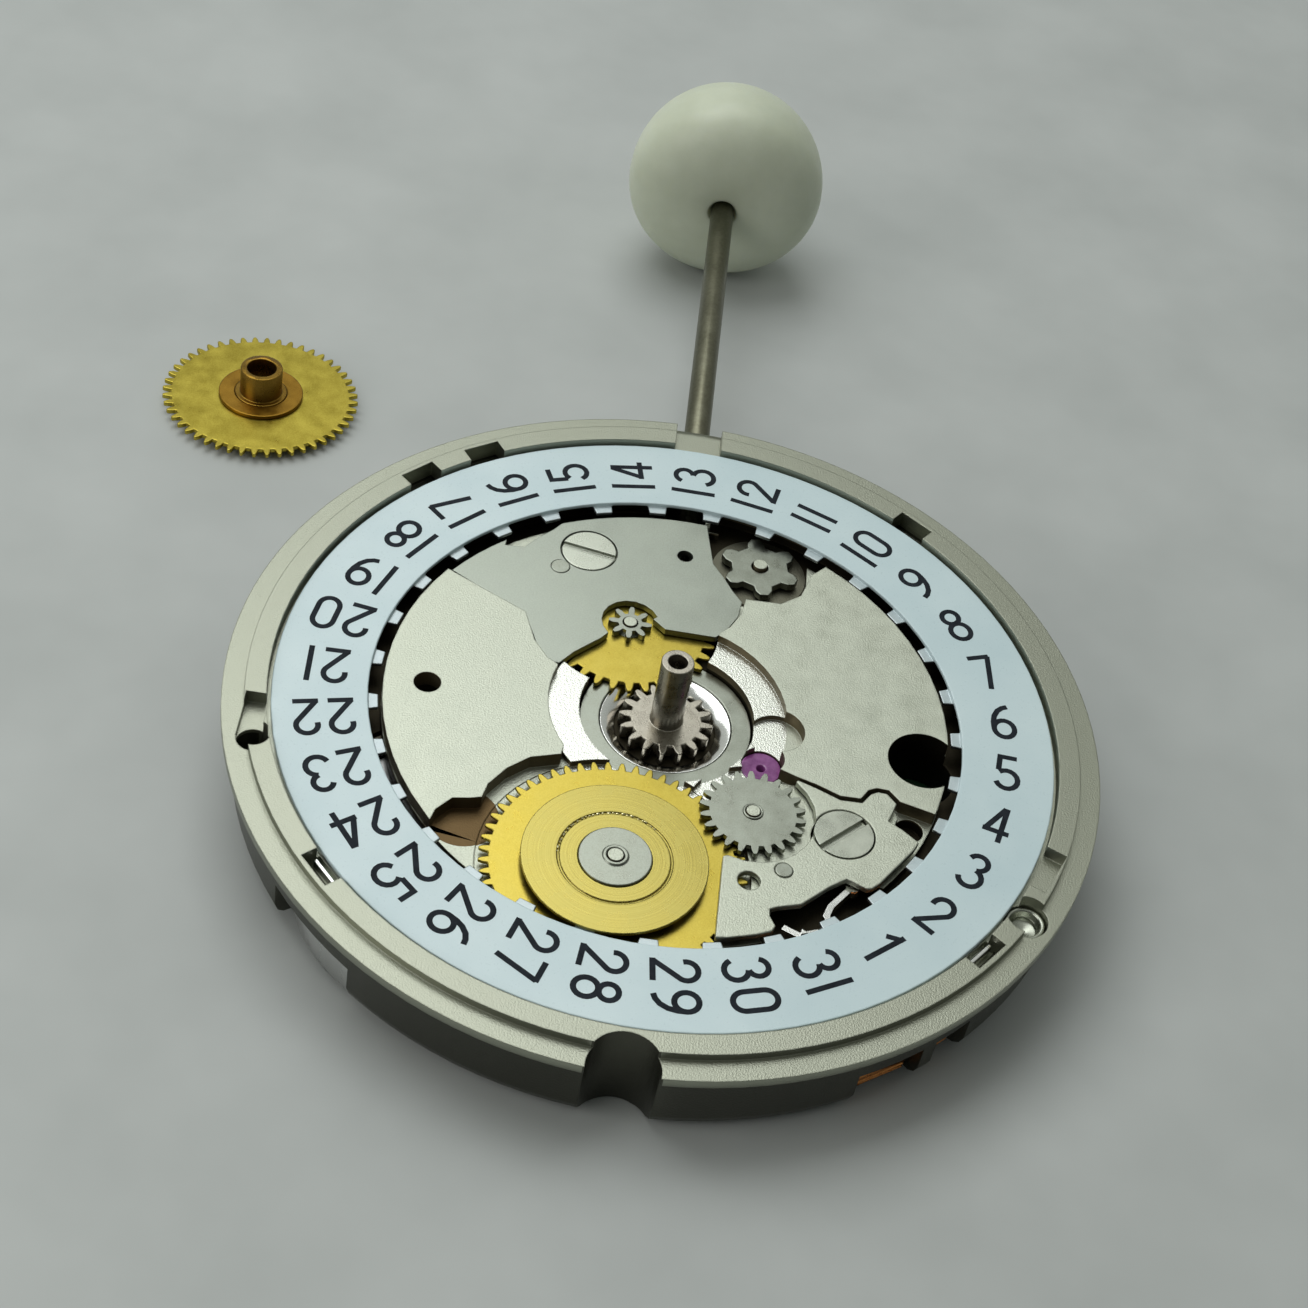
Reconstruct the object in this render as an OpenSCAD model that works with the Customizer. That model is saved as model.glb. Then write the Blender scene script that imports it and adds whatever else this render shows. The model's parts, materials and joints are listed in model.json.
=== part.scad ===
// Quartz watch movement with date, its stem and setting knob, and the hour wheel lifted off.
// Origin: movement axis at the underside. +X: winding stem (3 o'clock). +Y: 12 o'clock. +Z: dial side.

/* [Case fit] */
// radius of the casing flange
flange_r = 12.9; // [12.7:0.05:13.1]
// radius of the body below the flange
body_r = 12.6; // [12.5:0.05:12.65]
// height of the dial seat above the underside
seat_z = 3.0; // [2.95:0.01:3.1]
// radius of the notch at 9 o'clock
notch_r = 1.0; // [0.8:0.05:1.1]

/* [Date ring] */
// top of the date ring above the underside
ring_z = 2.85; // [2.84:0.01:2.88]
// outer radius of the date ring
ring_out_r = 11.5; // [11.4:0.02:11.54]
// inner radius of the printed flange
ring_in_r = 8.75; // [8.7:0.01:8.8]
// radius at the tips of the inner teeth
ring_tip_r = 8.45; // [8.42:0.01:8.5]
// number of inner teeth, one a day
ring_teeth = 31; // [31:1:31]

/* [Hands] */
// radius of the cannon pinion where the minute hand is pressed on
cannon_r = 0.48; // [0.45:0.01:0.5]
// top of the cannon pinion above the underside
cannon_z = 4.75; // [4.5:0.05:4.9]
// radius of the hole through the cannon pinion
cannon_bore_r = 0.28; // [0.25:0.01:0.3]

/* [Stem and knob] */
// radius of the stem
stem_r = 0.43; // [0.4:0.01:0.45]
// height of the stem axis above the underside
stem_z = 1.45; // [1.42:0.01:1.48]
// distance from the movement axis to the face of the setting knob
knob_x = 26.9; // [24:0.1:30]
// radius of the setting knob
knob_r = 3.7; // [3.4:0.05:3.8]

/* [Hour wheel lying beside the movement] */
// distance along the stem direction
hour_x = 15.5; // [15:0.1:20]
// distance along the 12 o'clock direction
hour_y = 15.1; // [15:0.1:20]
// tip radius of the hour wheel
hour_r = 3.3; // [3.2:0.01:3.4]

/* [Battery] */
// radius of the battery
battery_r = 4.75; // [4.7:0.01:4.78]
// height of the battery
battery_h = 1.65; // [1.6:0.01:1.68]

/* [Hidden] */
$fn = 96;
far = 40;
drive = [-5.95, 1.0];
inter = [-3.45, -2.72];
minute = [3.5, 1.43];
corrector = [7.1, -2.4];
jewel = [-1.35, -2.9];
rotor = jewel + 2.64 * [cos(205), sin(205)];
third = 2.9 * [cos(320), sin(320)];
battery = 7.62 * [cos(138), sin(138)];
coil_mid = 9.5 * [cos(218), sin(218)];
coil_a = 128;
lever = [10.5, 3.4];
// tooth modules of the motion work: 32 into 16 teeth, then 8 into 48
motion_module = norm(minute) / 24;
hour_module = norm(minute) / 28;
tilt = 3.18;
hour_z = -0.0556 * (hour_x + 12.5) + 0.02;
steel = [0.62, 0.63, 0.62];
nickel = [0.72, 0.71, 0.66];
gilt = [0.85, 0.72, 0.36];

// one tooth is six points from root to tip and back
function teeth(n, tip, root, first) = [for (i = [0:n - 1], q = [[-0.31, 0], [-0.23, 0.55], [-0.1, 1],
    [0.1, 1], [0.23, 0.55], [0.31, 0]])
    (root + (tip - root) * q[1]) * [cos(first + (i + q[0]) * 360 / n), sin(first + (i + q[0]) * 360 / n)]];
function heading(a, b) = atan2(b[1] - a[1], b[0] - a[0]);
function arc(r, a, b, n) = [for (i = [0:n]) r * [cos(a + (b - a) * i / n), sin(a + (b - a) * i / n)]];

module gear(n, mod, first, low, high, bore) {
    translate([0, 0, low])
        linear_extrude(high - low) difference() {
            polygon(teeth(n, mod * (n + 1.8) / 2, mod * (n - 2.5) / 2, first));
            circle(bore);
        }
}

module rod(at, r, low, high) {
    translate([at[0], at[1], low])
        cylinder(r = r, h = high - low);
}

module tube(at, r, bore, low, high) {
    translate([at[0], at[1], low])
        linear_extrude(high - low) difference() {
            circle(r);
            circle(bore);
        }
}

module slab(points, low, high) {
    translate([0, 0, low])
        linear_extrude(high - low) polygon(points);
}

module bar(a, b, w) {
    translate(a)
        rotate(heading(a, b))
            translate([0, -w / 2])
                square([norm(b - a), w]);
}

// a cheese-head screw standing in its hole, slot across the top
module screw(at, head, low, top, depth, turn) {
    translate([at[0], at[1], 0]) difference() {
        union() {
            translate([0, 0, top - depth])
                cylinder(r = head, h = depth);
            translate([0, 0, low])
                cylinder(r = head * 0.5, h = top - depth - low + 0.01);
        }
        rotate(turn)
            translate([-head - 1, -head * 0.12, top - depth * 0.5])
                cube([2 * head + 2, head * 0.24, depth]);
    }
}

// upper outlines shared by the main plate and the two plates let into it
north_edge = concat([[-5.6, 6.2]], arc(8.34, 130, 59, 14), [[3.0, 4.6], [1.9, 4.2], [1.25, 3.72]],
    arc(3.54, 73, 126, 8), [[-2.45, 2.9], [-2.75, 3.75], [-3.3, 4.35], [-4.0, 4.8], [-4.5, 4.9],
    [-4.6, 5.2], [-4.7, 5.7], [-5.2, 6.1]]);
south_edge = concat([[5.05, -2.0], [4.4, -1.9], [3.75, -1.6], [3.3, -1.2]], arc(3.54, 342, 243, 12),
    [[-1.9, -3.9], [-2.08, -4.5], [-2.37, -5.2], [-2.35, -5.78], [-1.98, -6.0],
    [-1.85, -6.25], [-1.87, -6.6], [-2.24, -6.94], [-2.5, -7.95]],
    arc(8.34, 254, 328, 14), [[6.6, -4.0], [5.6, -3.7], [5.1, -3.1]]);
jumper_pin = [-5.35, -5.7];
jumper_edge = concat([[-8.08, -1.95], [-5.22, -1.97]],
    [for (a = [160:16:320]) inter + 1.82 * [cos(a), sin(a)]],
    [[-1.98, -3.95], [-2.18, -4.5], [-2.48, -5.2], [-2.46, -5.84], [-2.08, -6.08], [-1.95, -6.28],
    [-1.97, -6.56], [-2.3, -6.84], [-2.65, -6.74], [-3.0, -6.62], [-3.25, -7.04], [-3.62, -7.5],
    [-3.93, -7.36], [-5.33, -6.42], [-5.55, -6.2], [-5.6, -6.05], [-5.36, -5.48], [-5.73, -5.01],
    [-6.5, -4.25], [-6.72, -3.6], [-6.84, -3.38], [-7.08, -3.4], [-7.38, -3.57], [-7.58, -3.48],
    [-7.78, -3.06], [-8.04, -2.28]]);
cover_edge = concat([[3.08, 4.58]], arc(8.34, 57.5, 42, 4), [[5.95, 5.6], [6.0, 5.0], [6.5, 4.65],
    [7.0, 4.2], [7.3, 4.0]], arc(8.34, 28, -4, 8), [[7.4, -0.75], [6.6, -0.9], [6.1, -1.25], [5.5, -1.6],
    [5.1, -1.9], [4.42, -1.82], [3.8, -1.52], [3.4, -1.2], [3.4, 0.35], [3.75, 0.75]],
    [for (a = [-65:20:135]) minute + 0.88 * [cos(a), sin(a)]], [[2.6, 2.25], [1.85, 2.98], [1.3, 3.37],
    [1.32, 3.65], [1.95, 4.12]]);

module main_plate() color(nickel) {
    difference() {
        union() {
            difference() {
                rotate_extrude() polygon([[0, 0], [11.9, 0], [12.3, 0.1], [12.5, 0.3], [body_r, 0.6],
                    [body_r, 2.4], [flange_r, 2.45], [flange_r, 2.75], [12.25, 2.75], [12.25, seat_z],
                    [11.62, seat_z], [11.62, 2.56], [8.36, 2.56], [8.36, 2.33], [0, 2.33]]);
                tube([0, 0], 9.2, 8.36, 2.0, 3.5);
                rod([0, 0], 2.6, 1.8, 3);
                rod(minute, 2.72, 1.84, 3);
                rod(drive, 3.85, 2.3, 3);
                slab([[5.2, -3.9], [8.3, -3.9], [8.3, 1.2], [5.2, 1.2]], 2.0, 3);
                slab([[-7.6, -3.2], [-6.3, -3.2], [-4.9, -6.1], [-5.6, -7.4], [-8.6, -4.2]], 1.95, 3);
                slab([[8.6, -0.6], [11.9, -0.6], [11.9, 4.4], [8.6, 4.4]], 2.05, 2.5);
            }
            difference() {
                slab(north_edge, 2.2, 2.8);
                rod(drive, 3.85, 2.1, 3);
            }
            difference() {
                slab(south_edge, 2.2, 2.8);
                rod(minute, 2.72, 2.1, 3);
            }
            difference() {
                slab([[-8.0, -2.05], [-1.98, -2.05], [-1.98, -3.95], [-2.48, -5.2], [-2.2, -6.8],
                    [-3.6, -7.2], [-4.9, -6.0], [-6.2, -3.2]], 2.2, 2.5);
                rod(drive, 3.85, 2.1, 3);
                rod(inter, 1.05, 2.1, 3);
            }
            difference() {
                tube([0, 0], 3.56, 2.6, 1.9, 2.52);
                rod(drive, 3.85, 2.1, 3);
                rod(inter, 1.9, 2.1, 3);
                rod(minute, 2.72, 1.8, 3);
            }
            rod(drive, 0.22, 2.2, 2.98);
            rod(inter, 0.2, 2.2, 2.82);
            rod(minute, 0.2, 1.8, 2.6);
            rod(corrector, 0.22, 1.9, 2.46);
            rod(lever, 0.3, 1.9, 2.32);
            rod(jumper_pin, 0.09, 1.9, 2.5);
        }
        // windows, notches and holes in the outer wall and rim
        rod([-12.75, 0.1], notch_r, -1, 4);
        rod([-3.62, 11.5], 0.48, 1.0, 4);
        translate([-3.62, 11.3, 2.56])
            cube([1.5, 0.7, 1]);
        rod([-5.8, -10.55], 0.62, 0.8, 4);
        rod([-5.8, -10.55], 0.3, -1, 4);
        rotate(245)
            translate([11.2, 0.2, 2.56])
                cube([0.9, 1.6, 1]);
        for (a = [132.2, 231.9, 46.4, -37, 35])
            rotate(a)
                translate([11.5, -0.6, 2.3])
                    cube([0.6, 1.2, 1]);
        rotate(135)
            translate([10, -1.7, -1])
                cube([4, 3.4, 2.45]);
        rotate(214.5)
            translate([10.4, -1.05, -1])
                cube([4, 2.1, 2.45]);
        rotate(224.3)
            translate([10.4, -0.65, -1])
                cube([4, 1.3, 2.45]);
        rod([-0.5, -7.6], 1.05, 0.5, 3);
        rod([-0.5, 7.05], 0.4, 1.7, 3);
        rod([-0.2, -3.25], 0.82, 2.35, 3);
        rod([-2.88, -7.28], 0.42, 1.95, 3);
        rod([2.05, -8.4], 0.22, 2.2, 3);
        rod([3.75, -7.95], 0.22, 2.2, 3);
        // centre, train and jewel bores
        rod([0, 0], 0.34, -1, 3);
        rod(jewel, 0.62, 1.55, 3);
        rod([-3.75, -5.35], 0.92, 2.2, 3);
        rod([-3.75, -5.35], 0.46, 1.8, 3);
        rod([6.3, 3.0], 0.46, 1.9, 3);
        // battery well and the hollow for the train, motor and coil, all open below
        rod(battery, 4.8, -1, 2.0);
        translate([0, 0, -1])
            linear_extrude(1.45) bridge_outline(0.06);
        translate([0, 0, -1])
            linear_extrude(2.6) train_outline();
        translate([0, 0, -1])
            linear_extrude(2.55) motor_outline();
        translate([coil_mid[0], coil_mid[1], -1])
            rotate(coil_a)
                translate([-4.75, -1.0, 0])
                    cube([9.5, 2.0, 3.05]);
        slab(concat([[0, -4.6]], arc(11.7, 268, 409, 30), [[3.9, 4.5]], arc(5.6, 49, -60, 16)), -1, 0.8);
        rotate(68)
            translate([8.05, -3.1, -1])
                cube([1.7, 6.2, 2.7]);
        // stem passage and the well around the setting parts
        translate([5.75, 0, stem_z])
            rotate([0, 90, 0])
                cylinder(r = 0.48, h = 8);
        translate([6.6, -0.75, 0.79])
            cube([3.15, 1.5, 1.4]);
        translate([9.5, -0.85, 0.95])
            cube([1.9, 2.4, 1.5]);
        translate([11.3, -0.75, 2.45])
            cube([2, 1.5, 1]);
        // tapped holes for the bridge and cover screws
        for (p = bridge_holes())
            rod(p, 0.3, -1, 1.4);
        for (p = cover_holes())
            rod(p, 0.3, -1, 1.6);
    }
}

function bridge_holes() = [[0.55, 3.35], [4.9, -3.55], [-1.6, -6.2]];
function cover_holes() = [[8.9, 4.6], [4.1, -8.6], [10.6, -3.4]];

module bridge_outline(more) {
    difference() {
        union() {
            circle(3.2 + more);
            translate(third)
                circle(3.2 + more);
            translate(jewel)
                circle(2.95 + more);
            translate(rotor)
                circle(1.35 + more);
            for (p = bridge_holes())
                translate(p)
                    circle(1.0 + more);
        }
        translate(battery)
            circle(4.9 - more);
    }
}

module train_outline() {
    circle(2.7);
    translate(third)
        circle(2.8);
    translate(jewel)
        circle(2.62);
    translate(rotor)
        circle(0.95);
}

module motor_outline() {
    translate(rotor)
        circle(1.75);
    for (q = stator_bars(0.3))
        bar(q[0], q[1], q[2]);
}

function coil_end(s) = coil_mid + s * [cos(coil_a), sin(coil_a)];
function stator_bars(more) = [[rotor, [-8.3, -2.0], 1.0 + more], [[-8.1, -1.9], coil_end(4.1), 1.0 + more],
    [rotor, [-3.55, -8.3], 1.0 + more], [[-3.4, -8.1], coil_end(-4.1), 1.0 + more]];

module date_ring() color([0.78, 0.86, 0.9]) {
    translate([0, 0, 2.6])
        linear_extrude(0.12) difference() {
            circle(ring_out_r);
            polygon([for (i = [0:ring_teeth - 1], q = [[-0.19, 0], [-0.15, 1], [0.15, 1], [0.19, 0]])
                (8.98 + (ring_tip_r - 8.98) * q[1])
                * [cos(7 + (i + q[0]) * 360 / ring_teeth), sin(7 + (i + q[0]) * 360 / ring_teeth)]]);
        }
    tube([0, 0], ring_out_r, ring_in_r, 2.72, ring_z);
}

module date_jumper_plate() color(nickel) {
    difference() {
        slab(jumper_edge, 2.55, 2.76);
        rod([-3.75, -5.35], 0.9, 2.5, 3);
        rod([-5.95, -2.75], 0.32, 2.5, 3);
        rod([-5.4, -3.7], 0.26, 2.5, 3);
    }
}

module date_jumper_plate_screw() color(steel) {
    screw([-3.75, -5.35], 0.86, 1.85, 2.76, 0.3, -45);
}

module jumper_plate_rivet() color(steel) {
    rod([-5.4, -3.7], 0.255, 2.51, 2.78);
}

module date_jumper() color(steel) {
    translate([0, 0, 2.2])
        linear_extrude(0.3) difference() {
            union() {
                polygon([[-7.10, -3.84], [-7.28, -4.27], [-7.01, -4.91], [-6.82, -5.03], [-6.57, -4.89],
                    [-6.16, -5.02], [-5.45, -5.53], [-5.55, -5.67], [-6.24, -5.18], [-6.55, -5.09],
                    [-6.82, -5.25], [-7.15, -5.03], [-7.48, -4.27], [-7.26, -3.76]]);
                translate(jumper_pin)
                    circle(0.22);
            }
            translate(jumper_pin)
                circle(0.11);
        }
    slab([[-7.48, -4.28], [-7.3, -4.3], [-7.4, -4.48]], 2.5, 2.7);
}

module keyless_cover() color([0.66, 0.67, 0.64]) {
    difference() {
        slab(cover_edge, 2.38, 2.6);
        rod([6.3, 3.0], 0.9, 2.3, 3);
        rod([5.4, 3.8], 0.3, 2.3, 3);
        rod([6.75, 0], 0.25, 2.3, 3);
    }
}

module keyless_cover_screw() color(steel) {
    screw([6.3, 3.0], 0.86, 1.95, 2.6, 0.2, 80);
}

module keyless_cover_rivet() color(steel) {
    rod([5.4, 3.8], 0.295, 2.34, 2.62);
}

module minute_wheel() color(gilt) {
    translate([minute[0], minute[1], 0])
        gear(32, motion_module, heading(minute, [0, 0]) + 180 / 32, 2.2, 2.34, 0.45);
}

module minute_pinion() color(steel) {
    translate([minute[0], minute[1], 0]) {
        gear(8, hour_module, 0, 2.35, 2.56, 0.24);
        tube([0, 0], 0.445, 0.24, 1.87, 2.36);
    }
}

module cannon_pinion() color([0.45, 0.42, 0.36]) {
    gear(16, motion_module, heading([0, 0], minute), 1.84, 2.3, cannon_bore_r);
    tube([0, 0], cannon_r, cannon_bore_r, 2.29, cannon_z);
}

module centre_collar() color(steel) {
    tube([0, 0], 2.56, 1.97, 1.81, 2.16);
}

module collar_ring() color([0.8, 0.8, 0.78]) {
    rotate_extrude() polygon([[1.5, 1.81], [1.95, 1.81], [1.95, 2.14], [1.5, 1.9]]);
}

module train_jewel() color([0.5, 0.18, 0.5]) {
    tube(jewel, 0.6, 0.13, 1.62, 2.3);
}

module intermediate_date_wheel() color(steel) {
    translate([inter[0], inter[1], 0]) {
        gear(22, 0.1286, heading(inter, [0, 0]), 2.6, 2.76, 0.3);
        gear(13, 0.13, heading(inter, drive) + 180 / 13, 2.42, 2.61, 0.3);
    }
}

module intermediate_date_stud() color([0.85, 0.85, 0.82]) {
    tube(inter, 0.295, 0.22, 2.4, 2.8);
}

module date_driving_wheel() color(gilt) {
    translate([drive[0], drive[1], 0])
        gear(56, 0.13, heading(drive, inter), 2.42, 2.53, 1.04);
}

module date_disc() color(gilt) {
    difference() {
        rod(drive, 2.62, 2.75, ring_z);
        tube(drive, 1.62, 1.55, 2.8, 3);
        rod(drive, 1.04, 2, 3);
    }
    difference() {
        slab([for (q = [[2.5, 236], [2.5, 228], [1.3, 215], [1.3, 250]])
            drive + q[0] * [cos(q[1]), sin(q[1])]], 2.6, 2.76);
        rod(drive, 1.04, 2, 3);
    }
}

module date_hub() color(steel) {
    tube(drive, 1.03, 0.25, 2.4, 2.91);
    tube(drive, 0.36, 0.25, 2.9, 2.97);
}

module corrector_wheel() color(steel) {
    translate([corrector[0], corrector[1], 0]) {
        translate([0, 0, 2.08])
            linear_extrude(0.26) difference() {
                polygon(teeth(6, 1.27, 0.92, 10));
                circle(0.26);
            }
    }
}

module setting_stem() color(steel) {
    translate([0, 0, stem_z])
        rotate([0, 90, 0])
            rotate_extrude() polygon([[0, 5.9], [0.22, 5.9], [0.22, 7.0], [0.3, 7.0], [0.3, 8.4],
                [stem_r, 8.4], [stem_r, 9.75], [0.27, 9.75], [0.27, 10.05], [stem_r, 10.05],
                [stem_r, knob_x + 2.2], [0, knob_x + 2.2]]);
}

module setting_pinion() color(steel) {
    translate([7.05, 0, stem_z])
        rotate([0, 90, 0])
            linear_extrude(1.3) difference() {
                polygon(teeth(10, 0.62, 0.44, 18));
                circle(0.305);
            }
}

module stem_slider() color(steel) {
    difference() {
        translate([9.78, -0.6, 1.0])
            cube([0.24, 2.05, 1.0]);
        translate([9.5, 0, stem_z])
            rotate([0, 90, 0])
                cylinder(r = 0.3, h = 1);
        translate([9.5, -0.3, 0.5])
            cube([1, 0.6, stem_z - 0.5]);
    }
    rod([9.9, 1.15], 0.2, 1.9, 2.32);
}

module setting_lever() color(steel) {
    difference() {
        union() {
            rod(lever, 0.62, 2.1, 2.26);
            translate([0, 0, 2.1])
                linear_extrude(0.16) bar(lever, lever + 2.85 * [cos(255.1), sin(255.1)], 0.86);
        }
        rod(lever, 0.34, 2, 3);
        translate([0, 0, 2])
            linear_extrude(1)
                bar(lever + 2.0 * [cos(255.1), sin(255.1)], lever + 2.66 * [cos(255.1), sin(255.1)], 0.46);
    }
}

module setting_knob() color([0.86, 0.86, 0.78]) {
    translate([0, 0, stem_z])
        rotate([0, 90, 0])
            rotate_extrude() polygon(concat([[0.44, knob_x + 2.3], [0.44, knob_x + 0.35], [0.75, knob_x],
                [knob_r - 0.35, knob_x], [knob_r - 0.1, knob_x + 0.1], [knob_r, knob_x + 0.35]],
                [for (a = [0:9:81]) [knob_r * cos(a), knob_x + 2.3 + knob_r * sin(a)]],
                [[0, knob_x + 2.3 + knob_r], [0, knob_x + 2.3]]));
}

module dial_screw_west() color(steel) {
    difference() {
        rod([-5.8, -10.55], 0.57, 0.9, 2.6);
        translate([-5.8, -10.55, 2.35])
            rotate(30)
                translate([-1, -0.09, 0])
                    cube([2, 0.18, 1]);
    }
}

module ring_guard_springs() color([0.8, 0.8, 0.76]) {
    for (a = [132.2, 231.9])
        rotate(a)
            translate([11.66, -0.5, 2.34])
                cube([0.12, 1.0, 0.36]);
}

module beside() {
    translate([hour_x, hour_y, hour_z])
        rotate([0, tilt, 0])
            children();
}

module hour_wheel() color(gilt) {
    beside()
        gear(48, hour_module, 0, 0.2, 0.36, 0.905);
}

module hour_pipe() color([0.6, 0.45, 0.2]) {
    beside()
        rotate_extrude() polygon([[0.5, 0], [0.9, 0], [0.9, 0.52], [0.72, 0.52], [0.72, 1.5], [0.5, 1.5]]);
}

module hour_date_pinion() color([0.62, 0.42, 0.16]) {
    beside()
        tube([0, 0], 1.45, 0.905, 0.37, 0.5);
}

module battery_can() color(steel) {
    difference() {
        rod(battery, battery_r, 0.02, 1.4);
        rod(battery, battery_r - 0.15, 0.17, 2);
    }
}

module battery_gasket() color([0.1, 0.1, 0.1]) {
    tube(battery, battery_r - 0.16, battery_r - 0.6, 0.9, 1.44);
}

module battery_cap() color(steel) {
    rod(battery, battery_r - 0.62, 0.18, battery_h + 0.02);
}

module negative_contact() color([0.8, 0.7, 0.4]) {
    translate([0, 0, 1.69])
        linear_extrude(0.1) {
            translate(battery)
                circle(0.9);
            bar(battery, [-3.0, 2.75], 0.8);
        }
}

module battery_insulator() color([0.2, 0.2, 0.18]) {
    tube(battery, 4.7, 4.2, 1.82, 1.95);
}

module circuit_board() color([0.2, 0.32, 0.2]) {
    difference() {
        slab(concat(arc(11.6, 270, 408, 30), arc(5.9, 47, -84, 18), [[0.6, -6.6], [0, -6.6]]), 0.6, 0.75);
        for (p = cover_holes())
            rod(p, 0.4, 0, 2);
        for (p = bridge_holes())
            rod(p, 0.4, 0, 2);
    }
}

module circuit_chip() color([0.06, 0.06, 0.06]) {
    rotate(-54)
        translate([7.9, -1.1, 0.3])
            cube([2.2, 2.2, 0.29]);
}

module quartz_crystal() color(steel) {
    rotate(68)
        translate([8.9, 2.9, 0.92])
            rotate([90, 0, 0])
                cylinder(r = 0.75, h = 5.2);
}

module coil_winding() color([0.72, 0.38, 0.16]) {
    translate([coil_mid[0], coil_mid[1], 1.0])
        rotate([0, 90, coil_a])
            translate([0, 0, -2.95])
                difference() {
                    cylinder(r = 0.88, h = 5.9);
                    translate([-0.16, -0.46, -1])
                        cube([0.32, 0.92, 8]);
                }
}

module coil_core() color(steel) {
    translate([coil_mid[0], coil_mid[1], 0.88])
        rotate(coil_a)
            translate([-4.65, -0.42, 0])
                cube([9.3, 0.84, 0.24]);
}

module coil_end_blocks() color([0.08, 0.08, 0.08]) {
    for (s = [-1, 1])
        translate([coil_mid[0], coil_mid[1], 0])
            rotate(coil_a)
                difference() {
                    translate([s * 3.22 - 0.22, -0.9, 0.15])
                        cube([0.44, 1.8, 1.0]);
                    translate([s * 3.22 - 1, -0.44, 0.86])
                        cube([2, 0.88, 1]);
                }
}

module stator() color(steel) {
    translate([0, 0, 1.16])
        linear_extrude(0.26) difference() {
            union() {
                translate(rotor)
                    circle(1.6);
                for (q = stator_bars(0))
                    bar(q[0], q[1], q[2]);
            }
            translate(rotor)
                circle(0.85);
        }
}

module rotor_magnet() color([0.3, 0.3, 0.32]) {
    tube(rotor, 0.7, 0.12, 1.1, 1.5);
}

module rotor_pinion() color(steel) {
    translate([rotor[0], rotor[1], 0])
        gear(6, 0.08, heading(rotor, jewel), 0.76, 0.98, 0.1);
    rod(rotor, 0.105, 0.44, 1.56);
}

module rotor_wheel() color(gilt) {
    translate([jewel[0], jewel[1], 0])
        gear(60, 0.08, heading(jewel, rotor) + 3, 0.8, 0.92, 0.3);
}

module rotor_wheel_pinion() color(steel) {
    translate([jewel[0], jewel[1], 0]) {
        gear(10, 0.16, heading(jewel, [0, 0]), 0.5, 0.68, 0.1);
        tube([0, 0], 0.298, 0.1, 0.67, 1.0);
    }
    rod(jewel, 0.105, 0.2, 1.95);
}

module seconds_wheel() color(gilt) {
    gear(30, 0.16, heading([0, 0], jewel) + 6, 0.52, 0.64, 0.2);
}

module seconds_pinion() color(steel) {
    gear(8, 0.0853, heading([0, 0], third), 0.65, 1.24, 0.1);
    rod([0, 0], 0.195, 0.46, 0.66);
    rod([0, 0], 0.12, 0.5, 3.9);
}

module third_wheel() color(gilt) {
    translate([third[0], third[1], 0])
        gear(60, 0.0853, heading(third, [0, 0]) + 3, 1.06, 1.18, 0.2);
}

module third_pinion() color(steel) {
    translate([third[0], third[1], 0])
        gear(8, 0.0806, heading(third, [0, 0]), 1.28, 1.52, 0.1);
    rod(third, 0.195, 1.0, 1.29);
    rod(third, 0.1, 0.44, 1.56);
}

module centre_wheel() color(gilt) {
    gear(64, 0.0806, heading([0, 0], third) + 180 / 64, 1.36, 1.48, 0.15);
    tube([0, 0], 0.25, 0.15, 1.3, 3.4);
}

module train_bridge() color(nickel) {
    linear_extrude(0.4)
        difference() {
            bridge_outline(0);
            translate(jewel)
                circle(0.14);
            for (p = bridge_holes())
                translate(p)
                    circle(0.36);
        }
}

module bridge_screws() color(steel) {
    for (p = bridge_holes())
        rod(p, 0.29, 0.03, 1.3);
}

module circuit_cover() color(nickel) {
    difference() {
        slab(concat(arc(11.5, 300, 400, 24), arc(8.0, 40, -60, 20)), 0.05, 0.2);
        for (p = cover_holes())
            rod(p, 0.42, 0, 2);
    }
}

module cover_screws() color(steel) {
    for (p = cover_holes())
        rod(p, 0.29, 0.06, 1.5);
}

main_plate();
date_ring();
date_jumper_plate();
date_jumper_plate_screw();
date_jumper();
jumper_plate_rivet();
keyless_cover();
keyless_cover_screw();
keyless_cover_rivet();
minute_wheel();
minute_pinion();
cannon_pinion();
centre_collar();
collar_ring();
train_jewel();
intermediate_date_wheel();
intermediate_date_stud();
date_driving_wheel();
date_disc();
date_hub();
corrector_wheel();
setting_stem();
setting_pinion();
stem_slider();
setting_lever();
setting_knob();
dial_screw_west();
ring_guard_springs();
hour_wheel();
hour_pipe();
hour_date_pinion();
battery_can();
battery_gasket();
battery_cap();
negative_contact();
battery_insulator();
circuit_board();
circuit_chip();
quartz_crystal();
coil_winding();
coil_core();
coil_end_blocks();
stator();
rotor_magnet();
rotor_pinion();
rotor_wheel();
rotor_wheel_pinion();
seconds_wheel();
seconds_pinion();
third_wheel();
third_pinion();
centre_wheel();
train_bridge();
bridge_screws();
circuit_cover();
cover_screws();
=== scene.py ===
"""Looks for the quartz watch movement: dial side up, stem and knob out, hour wheel lying beside it."""
import json
import math
import random

import bmesh
import bpy
from mathutils import Matrix, Vector


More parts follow.
